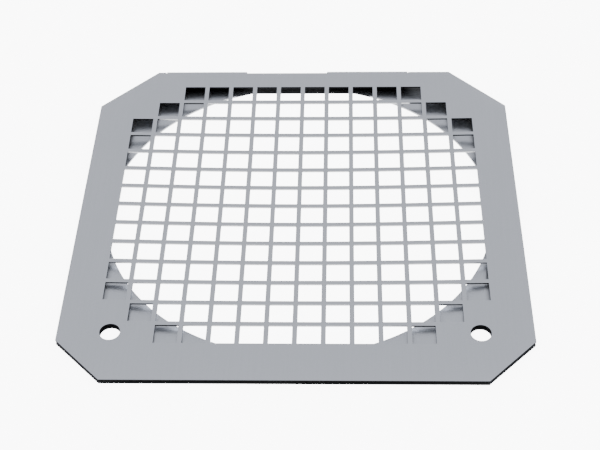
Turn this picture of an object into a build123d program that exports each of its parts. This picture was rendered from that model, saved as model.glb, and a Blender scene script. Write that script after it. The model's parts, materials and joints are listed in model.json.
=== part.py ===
from build123d import *
from math import asin, cos, degrees, radians, sin
import os

# A folded sheet-metal lamp filter frame: a punched grid leaf lies over an aperture leaf, and two bent
# straps along the back edge join them. A thin filter sheet slips into the gap between the leaves,
# which narrows from the fold to the front edge.
# Millimetres, +Z up. X runs along the fold and +Y points to it. The origin is under the middle of the
# frame, on the aperture leaf's underside.

# Driving dimensions: the sheet, and the outline shared by both leaves.
frame_width = 190.0
frame_depth = 189.2
sheet = 0.8
front_corner_cut = 19.6
back_corner_cut = 25.0

# Driving dimensions: the fold and the gap between the leaves.
fold_gap = 4.1
front_gap = 0.9
strap_width = 38.8
strap_centres_x = {"fold_strap_left": -46.8, "fold_strap_right": 30.8}
notch_depth = 0.7
notch_clearance = 0.3

# Driving dimensions: the punched grid. Each of its corners steps in by corner_steps cells.
cell_pitch = 11.4
bar_width = 2.0
cells_per_side = 14
corner_steps = 2
grid_centre_y = 2.55

# Driving dimensions: the light aperture, with its flat at the back, and the two corner holes.
aperture_radius = 83.6
aperture_centre_y = 2.85
aperture_flat_y = 82.85
corner_hole_radius = 4.1
corner_hole_spacing = 147.5
corner_hole_inset = 24.0

# The fold's bend lies on the hinge axis. The grid leaf leaves it at a small slope down to the front.
bend_inner_radius = fold_gap / 2
bend_outer_radius = bend_inner_radius + sheet
front_edge_y = -frame_depth / 2
bend_axis_y = frame_depth / 2 - bend_outer_radius
bend_axis_z = sheet + bend_inner_radius
leaf_back_y = bend_axis_y + notch_depth
leaf_depth = leaf_back_y - front_edge_y
leaf_centre_y = (leaf_back_y + front_edge_y) / 2
corner_hole_y = front_edge_y + corner_hole_inset
leaf_slope = degrees(asin((fold_gap - front_gap) / (bend_axis_y - front_edge_y)))

# The grid leaf's underside, placed so that y along it matches y on the flat blank.
slope_sine = sin(radians(leaf_slope))
slope_cosine = cos(radians(leaf_slope))
grid_plane = Plane(
    origin=(
        0,
        bend_axis_y * (1 - slope_cosine) - bend_inner_radius * slope_sine,
        bend_axis_z - bend_axis_y * slope_sine + bend_inner_radius * slope_cosine,
    ),
    x_dir=(1, 0, 0),
    z_dir=(0, -slope_sine, slope_cosine),
)

os.makedirs("parts", exist_ok=True)


def grid_cell_centres():
    """Centres of the punched cells, without the ones that the stepped corners leave solid."""
    last = cells_per_side - 1
    centres = []
    for row in range(cells_per_side):
        for column in range(cells_per_side):
            steps_from_corner = min(row, last - row) + min(column, last - column)
            if steps_from_corner >= corner_steps:
                x = (column - last / 2) * cell_pitch
                y = grid_centre_y + (row - last / 2) * cell_pitch
                centres.append((x, y))
    return centres


# The blank that both leaves are cut from: cut corners, strap notches and the two corner holes.
with BuildSketch() as leaf_blank:
    with Locations((0, leaf_centre_y)):
        Rectangle(frame_width, leaf_depth)
    chamfer(leaf_blank.vertices().group_by(Axis.Y)[0], front_corner_cut)
    chamfer(leaf_blank.vertices().group_by(Axis.Y)[-1], back_corner_cut)
    with Locations([(x, leaf_back_y) for x in strap_centres_x.values()]):
        Rectangle(strap_width + 2 * notch_clearance, 2 * notch_depth, mode=Mode.SUBTRACT)
    with Locations((-corner_hole_spacing / 2, corner_hole_y), (corner_hole_spacing / 2, corner_hole_y)):
        Circle(corner_hole_radius, mode=Mode.SUBTRACT)

# The lower leaf. Its round light aperture is cut flat at the back, which keeps metal beside the fold.
with BuildPart() as aperture_leaf:
    with BuildSketch():
        add(leaf_blank.sketch)
        with BuildSketch(mode=Mode.SUBTRACT):
            with Locations((0, aperture_centre_y)):
                Circle(aperture_radius)
            with Locations((0, aperture_flat_y)):
                Rectangle(frame_width, frame_depth, align=(Align.CENTER, Align.MIN), mode=Mode.SUBTRACT)
    extrude(amount=sheet)
aperture_leaf.part.label = "aperture_leaf"
export_step(aperture_leaf.part, "parts/aperture_leaf.step")

# The upper leaf. Its square cells leave a grid of flat bars in the same sheet as the border.
with BuildPart() as grid_leaf:
    with BuildSketch(grid_plane):
        add(leaf_blank.sketch)
        with Locations(grid_cell_centres()):
            Rectangle(cell_pitch - bar_width, cell_pitch - bar_width, mode=Mode.SUBTRACT)
    extrude(amount=sheet)
grid_leaf.part.label = "grid_leaf"
export_step(grid_leaf.part, "parts/grid_leaf.step")

# The fold: short straps of the same sheet, bent back through a little over a half turn.
for strap_name, strap_centre_x in strap_centres_x.items():
    with BuildPart() as fold_strap:
        with BuildSketch(Plane.YZ.offset(strap_centre_x)):
            with BuildLine():
                outer_bend = CenterArc((bend_axis_y, bend_axis_z), bend_outer_radius, -90, 180 + leaf_slope)
                inner_bend = CenterArc((bend_axis_y, bend_axis_z), bend_inner_radius, -90, 180 + leaf_slope)
                Line(outer_bend @ 0, inner_bend @ 0)
                Line(outer_bend @ 1, inner_bend @ 1)
            make_face()
        extrude(amount=strap_width / 2, both=True)
    fold_strap.part.label = strap_name
    export_step(fold_strap.part, f"parts/{strap_name}.step")
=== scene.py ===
import json
import math

import bpy
from mathutils import Matrix, Quaternion, Vector


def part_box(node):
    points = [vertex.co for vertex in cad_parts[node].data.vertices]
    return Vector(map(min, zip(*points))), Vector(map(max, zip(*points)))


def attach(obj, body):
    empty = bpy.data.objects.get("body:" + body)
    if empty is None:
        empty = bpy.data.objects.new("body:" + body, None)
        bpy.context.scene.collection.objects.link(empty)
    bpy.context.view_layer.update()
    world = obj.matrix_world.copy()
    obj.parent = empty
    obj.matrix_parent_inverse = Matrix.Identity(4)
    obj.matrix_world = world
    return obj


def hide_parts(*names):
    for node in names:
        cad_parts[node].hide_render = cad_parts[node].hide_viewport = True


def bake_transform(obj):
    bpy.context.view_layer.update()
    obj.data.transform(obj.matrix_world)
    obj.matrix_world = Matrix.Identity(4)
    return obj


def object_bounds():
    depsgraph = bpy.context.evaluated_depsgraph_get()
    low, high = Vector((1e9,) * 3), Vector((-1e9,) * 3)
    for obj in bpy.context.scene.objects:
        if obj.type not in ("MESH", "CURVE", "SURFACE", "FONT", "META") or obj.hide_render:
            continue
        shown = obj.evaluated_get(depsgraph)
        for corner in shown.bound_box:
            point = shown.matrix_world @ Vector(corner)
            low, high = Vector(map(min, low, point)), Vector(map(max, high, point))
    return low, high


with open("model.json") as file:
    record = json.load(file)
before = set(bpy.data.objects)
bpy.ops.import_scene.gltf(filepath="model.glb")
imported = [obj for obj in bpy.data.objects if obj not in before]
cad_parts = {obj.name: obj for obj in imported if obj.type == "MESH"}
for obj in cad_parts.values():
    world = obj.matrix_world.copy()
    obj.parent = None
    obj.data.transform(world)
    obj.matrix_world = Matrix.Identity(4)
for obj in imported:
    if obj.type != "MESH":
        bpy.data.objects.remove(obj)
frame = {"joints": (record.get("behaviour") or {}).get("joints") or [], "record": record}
cad_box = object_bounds()

# ---- Camera ----
# A long lens looks down at the closed frame from the front, a little right of its middle, with the
# fold at the far side and the two corner holes near the viewer.
frame_low, frame_high = cad_box
frame_width = frame_high.x - frame_low.x
frame_centre = (frame_low + frame_high) / 2
camera_azimuth = math.radians(2.65)
camera_elevation = math.radians(43.85)
camera_roll = math.radians(-1.796)
camera_place = frame_centre + 3.003 * frame_width * Vector((
    math.sin(camera_azimuth) * math.cos(camera_elevation),
    -math.cos(camera_azimuth) * math.cos(camera_elevation),
    math.sin(camera_elevation),
))
camera_aim = frame_centre + Vector((0.0007, -0.0097, -0.0003))
bpy.ops.object.camera_add(location=camera_place)
camera = bpy.context.object
camera_turn = (camera_aim - camera_place).to_track_quat("-Z", "Y") @ Quaternion((0, 0, 1), camera_roll)
camera.rotation_euler = camera_turn.to_euler()
camera.data.lens = 78.7
bpy.context.scene.camera = camera

# ---- Studio ----
# The floor glows white, so the open cells read as holes. One large soft light hangs overhead and a weaker
# one stands at the front left. The room around them is an even white, which is what the metal mirrors.
def linear(hex_colour):
    """The linear RGBA of an sRGB hex colour such as "a8aaad"."""
    channels = [int(hex_colour[i:i + 2], 16) / 255 for i in (0, 2, 4)]
    return [c / 12.92 if c <= 0.04045 else ((c + 0.055) / 1.055) ** 2.4 for c in channels] + [1]


def add_node(tree, kind, links=(), **settings):
    """Adds a node, sets its properties or input values, and makes links of (from socket, own input)."""
    node = tree.nodes.new(kind)
    for name, value in settings.items():
        if hasattr(node, name):
            setattr(node, name, value)
        else:
            node.inputs[name.replace("_", " ")].default_value = value
    for source, input_name in links:
        tree.links.new(source, node.inputs[input_name])
    return node


bpy.ops.object.select_all(action="DESELECT")
bpy.ops.mesh.primitive_plane_add(size=60 * frame_width)
floor = bpy.context.object
floor.name = "studio_floor"
# It lies 0.1 mm under the frame, so that the two surfaces don't share a plane.
floor.location.z = -0.0001
floor_paint = bpy.data.materials.new("matt white painted floor")
floor_paint.use_nodes = True
floor_shader = floor_paint.node_tree.nodes["Principled BSDF"]
floor_shader.inputs["Base Color"].default_value = linear("f2f2f2")
floor_shader.inputs["Roughness"].default_value = 0.9
floor_shader.inputs["Specular IOR Level"].default_value = 0.1
floor_shader.inputs["Emission Color"].default_value = linear("ffffff")
floor_shader.inputs["Emission Strength"].default_value = 8.0
floor.data.materials.append(floor_paint)

room = bpy.data.worlds.new("studio_room")
room.use_nodes = True
room.node_tree.nodes["Background"].inputs["Color"].default_value = linear("fafbff")
room.node_tree.nodes["Background"].inputs["Strength"].default_value = 1.8
bpy.context.scene.world = room

for light_name, light_place, light_size, light_watts in (
    ("overhead_softbox", (0.2, -0.9, 1.5), 1.4, 6),
    ("front_left_softbox", (-1.2, -0.9, 1.1), 0.9, 2),
):
    bpy.ops.object.light_add(type="AREA", location=light_place)
    light = bpy.context.object
    light.name = light_name
    light.data.size = light_size
    light.data.energy = light_watts
    light.rotation_euler = (-Vector(light_place)).to_track_quat("-Z", "Y").to_euler()

# ---- Sheet metal ----
# Both leaves and the straps are one grey aluminium sheet with a satin mill finish. The rollers leave very
# fine streaks that run towards the fold, and handling leaves patches that are a little duller.
MM = 0.001
grid_centre = Vector((0, 2.55 * MM, 0))


def border_shade_share(tree, place):
    """How much painted shade lies on a point: none under the grid's cells, full under the border round
    them.
    """
    axes = add_node(tree, "ShaderNodeSeparateXYZ", [(place.outputs["Object"], "Vector")])
    across = add_node(tree, "ShaderNodeMath", [(axes.outputs["X"], 0)], operation="ABSOLUTE")
    from_centre = add_node(tree, "ShaderNodeMath", [(axes.outputs["Y"], 0)], operation="SUBTRACT")
    from_centre.inputs[1].default_value = grid_centre.y
    along = add_node(tree, "ShaderNodeMath", [(from_centre.outputs[0], 0)], operation="ABSOLUTE")
    to_straight_side = add_node(tree, "ShaderNodeMath", [(across.outputs[0], 0), (along.outputs[0], 1)],
                                operation="MAXIMUM")
    diagonal = add_node(tree, "ShaderNodeMath", [(across.outputs[0], 0), (along.outputs[0], 1)],
                        operation="ADD")
    to_stepped_corner = add_node(tree, "ShaderNodeMath", [(diagonal.outputs[0], 0)], operation="SUBTRACT")
    to_stepped_corner.inputs[1].default_value = 57 * MM
    border = add_node(tree, "ShaderNodeMath", [(to_straight_side.outputs[0], 0),
                      (to_stepped_corner.outputs[0], 1)], operation="MAXIMUM")
    return add_node(tree, "ShaderNodeMapRange", [(border.outputs[0], "Value")],
                    From_Min=77 * MM, From_Max=82 * MM)


def rolled_aluminium(name, painted_shade_border=False):
    """Satin mill-finish aluminium, which blurs what it mirrors, clean or with painted shade under the
    border.
    """
    metal = bpy.data.materials.new(name)
    metal.use_nodes = True
    tree = metal.node_tree
    shader = tree.nodes["Principled BSDF"]
    shader.inputs["Metallic"].default_value = 1.0
    place = add_node(tree, "ShaderNodeTexCoord")
    # Rolling streaks are about 0.6 mm apart across the sheet and 25 mm long.
    streak_place = add_node(tree, "ShaderNodeMapping", [(place.outputs["Object"], "Vector")],
                            Scale=(1 / (0.6 * MM), 1 / (25 * MM), 1 / (25 * MM)))
    streaks = add_node(tree, "ShaderNodeTexNoise", [(streak_place.outputs["Vector"], "Vector")],
                       Scale=1.0, Detail=3.0, Roughness=0.6)
    # The duller patches are about 30 mm across.
    dull_patches = add_node(tree, "ShaderNodeTexNoise", [(place.outputs["Object"], "Vector")],
                      Scale=1 / (30 * MM), Detail=2.0, Roughness=0.5)
    # The fine grain left by the rollers is about 0.25 mm.
    grain = add_node(tree, "ShaderNodeTexNoise", [(place.outputs["Object"], "Vector")],
                     Scale=1 / (0.25 * MM), Detail=2.0, Roughness=0.6)
    tone = add_node(tree, "ShaderNodeMix", [(streaks.outputs["Fac"], "A")], data_type="FLOAT", Factor=0.7)
    tree.links.new(grain.outputs["Fac"], tone.inputs["B"])
    colours = add_node(tree, "ShaderNodeValToRGB", [(tone.outputs["Result"], "Fac")])
    colours.color_ramp.elements[0].position = 0.25
    colours.color_ramp.elements[0].color = linear("919499")
    colours.color_ramp.elements[1].position = 0.75
    colours.color_ramp.elements[1].color = linear("9a9da4")
    tree.links.new(colours.outputs["Color"], shader.inputs["Base Color"])
    # Painted shade: under the border the inner faces are mixed towards dark grey, standing in for the
    # shade in the gap between the leaves.
    if painted_shade_border:
        painted_shade_mix = add_node(tree, "ShaderNodeMix", [(border_shade_share(tree, place).outputs["Result"], "Factor")],
                        data_type="RGBA")
        tree.links.new(colours.outputs["Color"], painted_shade_mix.inputs["A"])
        painted_shade_mix.inputs["B"].default_value = linear("404143")
        tree.links.new(painted_shade_mix.outputs["Result"], shader.inputs["Base Color"])
    blur = add_node(tree, "ShaderNodeMapRange", [(dull_patches.outputs["Fac"], "Value")],
                    From_Min=0.3, From_Max=0.7, To_Min=0.33, To_Max=0.39)
    tree.links.new(blur.outputs["Result"], shader.inputs["Roughness"])
    relief = add_node(tree, "ShaderNodeBump", [(streaks.outputs["Fac"], "Height")],
                      Strength=0.12, Distance=0.02 * MM)
    tree.links.new(relief.outputs["Normal"], shader.inputs["Normal"])
    return metal


def cut_edge(name, dark, light, roughness, metalness=1.0):
    """A cut edge of the sheet, bare or painted near black as shade, with the tool's upright marks about
    0.2 mm apart.
    """
    metal = bpy.data.materials.new(name)
    metal.use_nodes = True
    tree = metal.node_tree
    shader = tree.nodes["Principled BSDF"]
    shader.inputs["Metallic"].default_value = metalness
    shader.inputs["Specular IOR Level"].default_value = 0.0
    shader.inputs["Roughness"].default_value = roughness
    place = add_node(tree, "ShaderNodeTexCoord")
    marks_place = add_node(tree, "ShaderNodeMapping", [(place.outputs["Object"], "Vector")],
                           Scale=(1 / (0.2 * MM), 1 / (0.2 * MM), 1 / (2 * MM)))
    marks = add_node(tree, "ShaderNodeTexNoise", [(marks_place.outputs["Vector"], "Vector")],
                     Scale=1.0, Detail=2.0)
    colours = add_node(tree, "ShaderNodeValToRGB", [(marks.outputs["Fac"], "Fac")])
    colours.color_ramp.elements[0].position = 0.3
    colours.color_ramp.elements[0].color = linear(dark)
    colours.color_ramp.elements[1].position = 0.7
    colours.color_ramp.elements[1].color = linear(light)
    tree.links.new(colours.outputs["Color"], shader.inputs["Base Color"])
    return metal


# A mill finish blurs what it mirrors, so the faces look an even satin grey. Painted shade on the inner
# faces under the border makes the gap between the leaves nearly black.
sheet_face = rolled_aluminium("mill-finish aluminium sheet")
painted_shade_face = rolled_aluminium("mill-finish aluminium sheet with soot inside the frame", painted_shade_border=True)
# The punch leaves bare metal, a little darker than the faces. The other sheared edges are painted near
# black as painted shade for the dark gap between the leaves and the dark crescents in the corner holes;
# they reflect almost nothing and look black.
bare_edge = cut_edge("bare punched aluminium edge", "6a6b6d", "747577", 0.4)
painted_shade_edge = cut_edge("sheared aluminium edge with painted shade", "0a0a0b", "111112", 0.8, metalness=0.0)

# ---- Leaf blanks ----
# Both leaves are cut from the same sheet to the same outline: a near square with its corners cut off,
# two shallow notches beside the fold straps and a round hole near each front corner.
aperture_low, aperture_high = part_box("aperture_leaf")
strap_boxes = [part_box("fold_strap_left"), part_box("fold_strap_right")]
sheet = aperture_high.z - aperture_low.z
bend_axis = Vector(frame["joints"][0]["pos_m"])
bend_inner_radius = bend_axis.z - sheet
# The gap between the leaves narrows from the bend's inner width, at the fold, to this at the front.
front_gap = 0.9 * MM
leaf_slope = math.asin((2 * bend_inner_radius - front_gap) / (bend_axis.y - aperture_low.y))
front_corner_cut = 19.6 * MM
back_corner_cut = 25.0 * MM
notch_clearance = 0.3 * MM
corner_holes = next(m for m in frame["record"]["mounts"] if m["name"] == "corner_holes")
corner_hole_centre = Vector(corner_holes["pos_m"])
corner_hole_radius = corner_holes["dims"]["hole_r_mm"] * MM
corner_hole_spacing = corner_holes["dims"]["spacing_x_mm"] * MM
edge_round = 0.07 * MM
# Points count as in one place, and as on the fold line, when they are nearer than these.
same_place = 0.01 * MM
at_fold_line = 0.1 * MM


def select_only(piece):
    bpy.ops.object.select_all(action="DESELECT")
    bpy.context.view_layer.objects.active = piece
    piece.select_set(True)


def select_faces(piece, wanted):
    """In object mode: selects the faces whose centre passes the test, and no edge or point besides."""
    for part in (*piece.data.vertices, *piece.data.edges):
        part.select = False
    for face in piece.data.polygons:
        face.select = wanted(face)


def delete_faces(piece, wanted):
    select_only(piece)
    select_faces(piece, wanted)
    bpy.ops.object.mode_set(mode="EDIT")
    bpy.ops.mesh.select_mode(type="FACE")
    bpy.ops.mesh.delete(type="FACE")
    bpy.ops.object.mode_set(mode="OBJECT")


def slice_sheet(piece, point, normal, trim=False):
    """Cuts the piece's faces along a plane, and with trim throws away what lies past it."""
    select_only(piece)
    bpy.ops.object.mode_set(mode="EDIT")
    bpy.ops.mesh.select_all(action="SELECT")
    bpy.ops.mesh.bisect(plane_co=point, plane_no=normal, clear_outer=trim, threshold=same_place / 10)
    bpy.ops.object.mode_set(mode="OBJECT")


def blank_leaf(name, top_z):
    """The level top face of a leaf: a trimmed rectangle with notches for the fold straps."""
    low, high = aperture_low, aperture_high
    bpy.ops.object.select_all(action="DESELECT")
    bpy.ops.mesh.primitive_plane_add(size=1, location=(*(low + high).xy / 2, top_z))
    leaf = bpy.context.object
    leaf.name = name
    leaf.scale = (high.x - low.x, high.y - low.y, 1)
    bpy.ops.object.transform_apply(location=True, rotation=True, scale=True)
    for side in (-1, 1):
        for edge_y, toward, cut in ((low.y, -1, front_corner_cut), (high.y, 1, back_corner_cut)):
            corner_x = high.x if side > 0 else low.x
            slice_sheet(leaf, (corner_x - side * cut, edge_y, top_z), (side, toward, 0), trim=True)
    slice_sheet(leaf, bend_axis, (0, 1, 0))
    for strap_low, strap_high in strap_boxes:
        slice_sheet(leaf, (strap_low.x - notch_clearance, 0, 0), (1, 0, 0))
        slice_sheet(leaf, (strap_high.x + notch_clearance, 0, 0), (1, 0, 0))
    delete_faces(leaf, lambda face: face.center.y > bend_axis.y and any(
        strap_low.x - notch_clearance < face.center.x < strap_high.x + notch_clearance
        for strap_low, strap_high in strap_boxes))
    return leaf


def apply_modifier(piece, kind, **settings):
    select_only(piece)
    modifier = piece.modifiers.new(kind.title(), kind)
    for name, value in settings.items():
        setattr(modifier, name, value)
    bpy.ops.object.modifier_apply(modifier=modifier.name)


def punch(piece, punch_tool):
    """Cuts the tool's shape out of the piece, and takes the tool away."""
    apply_modifier(piece, "BOOLEAN", object=punch_tool, operation="DIFFERENCE", solver="EXACT")
    bpy.data.objects.remove(punch_tool)


def round_punch(centre, radius, facets):
    bpy.ops.object.select_all(action="DESELECT")
    bpy.ops.mesh.primitive_cylinder_add(vertices=facets, radius=radius, depth=20 * sheet, location=centre)
    bpy.ops.object.transform_apply(location=True, rotation=True, scale=True)
    return bpy.context.object


def punch_corner_holes(leaf):
    for side in (-1, 1):
        hole_centre = corner_hole_centre + Vector((side * corner_hole_spacing / 2, 0, 0))
        punch(leaf, round_punch(hole_centre, corner_hole_radius, 64))


def finish_sheet(piece):
    """Breaks the sharp edges, except where the sheet runs on into the fold, and hands over the metals."""
    select_only(piece)
    bpy.ops.object.mode_set(mode="EDIT")
    bpy.ops.mesh.select_mode(type="EDGE")
    bpy.ops.mesh.select_all(action="DESELECT")
    bpy.ops.mesh.edges_select_sharp(sharpness=math.radians(30))
    bpy.ops.object.mode_set(mode="OBJECT")
    points = piece.data.vertices
    for edge in piece.data.edges:
        at_fold = all(abs(points[i].co.y - bend_axis.y) < at_fold_line for i in edge.vertices)
        edge.select = edge.select and not at_fold
    bpy.ops.object.mode_set(mode="EDIT")
    bpy.ops.mesh.bevel(offset=edge_round, segments=2, affect="EDGES", clamp_overlap=True)
    bpy.ops.object.mode_set(mode="OBJECT")
    for metal in (sheet_face, painted_shade_edge, bare_edge, painted_shade_face):
        piece.data.materials.append(metal)
    bpy.ops.object.shade_smooth_by_angle(angle=math.radians(40))


def dress(piece, is_cut, edge_without_painted_shade, is_inside):
    """Gives each face its metal: near-black painted shade or bare metal on cut edges, painted shade
    inside the fold, else plain.
    """
    for face in piece.data.polygons:
        if is_cut(face):
            face.material_index = 2 if edge_without_painted_shade(face) else 1
        else:
            face.material_index = 3 if is_inside(face) else 0


def stands_upright(face):
    return abs(face.normal.z) < 0.6


# ---- Grid leaf ----
# The upper leaf guards the filter: rows of square cells are punched out of the sheet, which leaves
# narrow flat bars. Punching has stretched the grid, so it dips a little in the middle.
cell_pitch = 11.4 * MM
bar_width = 2.0 * MM
cells_per_side = 14
corner_steps = 2
grid_dip = 1.85 * MM
grid_half = cells_per_side / 2 * cell_pitch
aperture_centre = Vector((0, 2.85 * MM, aperture_high.z))
aperture_radius = 83.6 * MM
aperture_flat_y = 82.85 * MM

grid_sheet = blank_leaf("punched_grid_leaf", bend_axis.z + bend_inner_radius + sheet)
for line in range(cells_per_side + 1):
    bar_middle = line * cell_pitch - grid_half
    for bar_edge in (bar_middle - bar_width / 2, bar_middle + bar_width / 2):
        slice_sheet(grid_sheet, (grid_centre.x + bar_edge, 0, 0), (1, 0, 0))
        slice_sheet(grid_sheet, (0, grid_centre.y + bar_edge, 0), (0, 1, 0))


def in_a_cell(face):
    """True where the sheet is punched out: inside a cell that the stepped corners don't leave solid."""
    column, across = divmod((face.center.x - grid_centre.x + grid_half) / cell_pitch, 1)
    row, along = divmod((face.center.y - grid_centre.y + grid_half) / cell_pitch, 1)
    last = cells_per_side - 1
    if not (0 <= column <= last and 0 <= row <= last):
        return False
    bar_share = bar_width / cell_pitch / 2
    on_a_bar = min(across, 1 - across) < bar_share or min(along, 1 - along) < bar_share
    return not on_a_bar and min(column, last - column) + min(row, last - row) >= corner_steps


def over_the_aperture(face):
    """True inside the light aperture and on its round rim, where the cut edges stay bare without painted
    shade, but not near its flat.
    """
    from_centre = (face.center.xy - aperture_centre.xy).length
    return from_centre < aperture_radius + edge_round and face.center.y < aperture_flat_y - 3 * MM


delete_faces(grid_sheet, in_a_cell)
apply_modifier(grid_sheet, "SOLIDIFY", thickness=sheet, offset=-1)
punch_corner_holes(grid_sheet)
finish_sheet(grid_sheet)
# The dip is deepest in the middle of the grid and fades out at the solid border.
for point in grid_sheet.data.vertices:
    across = (point.co.x - grid_centre.x) / (grid_half + bar_width)
    along = (point.co.y - grid_centre.y) / (grid_half + bar_width)
    if abs(across) < 1 and abs(along) < 1:
        point.co.z -= grid_dip * math.cos(across * math.pi / 2) * math.cos(along * math.pi / 2)
dress(grid_sheet, stands_upright, over_the_aperture, is_inside=lambda face: face.normal.z < 0)
# The leaf was made level, and the fold lets it down a little towards the front.
to_axis, from_axis = Matrix.Translation(-bend_axis), Matrix.Translation(bend_axis)
grid_sheet.data.transform(from_axis @ Matrix.Rotation(leaf_slope, 4, "X") @ to_axis)
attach(grid_sheet, "upper_leaf")
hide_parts("grid_leaf")

# ---- Aperture leaf ----
# The lower leaf holds the filter flat behind the grid. Its one large round opening lets the light
# through, and is cut flat at the back to leave metal beside the fold.
aperture_sheet = blank_leaf("aperture_leaf_sheet", aperture_high.z)
apply_modifier(aperture_sheet, "SOLIDIFY", thickness=sheet, offset=-1)
aperture_punch = round_punch(aperture_centre, aperture_radius, 256)
select_only(aperture_punch)
bpy.ops.object.mode_set(mode="EDIT")
bpy.ops.mesh.select_all(action="SELECT")
bpy.ops.mesh.bisect(plane_co=(0, aperture_flat_y, 0), plane_no=(0, 1, 0), use_fill=True, clear_outer=True)
bpy.ops.object.mode_set(mode="OBJECT")
punch(aperture_sheet, aperture_punch)
punch_corner_holes(aperture_sheet)
finish_sheet(aperture_sheet)
dress(aperture_sheet, stands_upright, over_the_aperture, is_inside=lambda face: face.normal.z > 0)
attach(aperture_sheet, "lower_leaf")
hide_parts("aperture_leaf")

# ---- Fold straps ----
# Two strips of the sheet are left uncut between the leaves and bent back on themselves. They are
# what holds the leaves together, and they flex when the frame is opened for a filter.
for strap_node, (strap_low, strap_high) in zip(("fold_strap_left", "fold_strap_right"), strap_boxes):
    strap_width = strap_high.x - strap_low.x
    bpy.ops.object.select_all(action="DESELECT")
    bpy.ops.mesh.primitive_plane_add(size=strap_width, location=(
        strap_low.x + strap_width / 2, bend_axis.y + strap_width / 2, sheet / 2))
    strap = bpy.context.object
    strap.name = strap_node + "_bend"
    bpy.ops.object.transform_apply(location=True, rotation=True, scale=True)
    # The plane's far edge goes, and the edge that is left turns half way round the bend.
    for part in (*strap.data.edges, *strap.data.polygons):
        part.select = False
    for point in strap.data.vertices:
        point.select = point.co.y > bend_axis.y + same_place
    bpy.context.tool_settings.mesh_select_mode = (True, False, False)
    bpy.ops.object.mode_set(mode="EDIT")
    bpy.ops.mesh.delete(type="VERT")
    bpy.ops.mesh.select_all(action="SELECT")
    bpy.ops.mesh.spin(steps=24, angle=math.pi + leaf_slope, center=bend_axis, axis=(-1, 0, 0))
    bpy.ops.mesh.select_all(action="SELECT")
    bpy.ops.mesh.normals_make_consistent(inside=False)
    bpy.ops.object.mode_set(mode="OBJECT")
    apply_modifier(strap, "SOLIDIFY", thickness=sheet, offset=0)
    finish_sheet(strap)
    # On the straps the cut sides get the near-black painted shade, and the faces inside the bend get the
    # painted shade under the border.
    dress(strap, lambda face: abs(face.normal.x) > 0.7, lambda face: False,
          is_inside=lambda face: (face.center - bend_axis).yz.length < bend_inner_radius + sheet / 2)
    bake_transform(strap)
    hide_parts(strap_node)
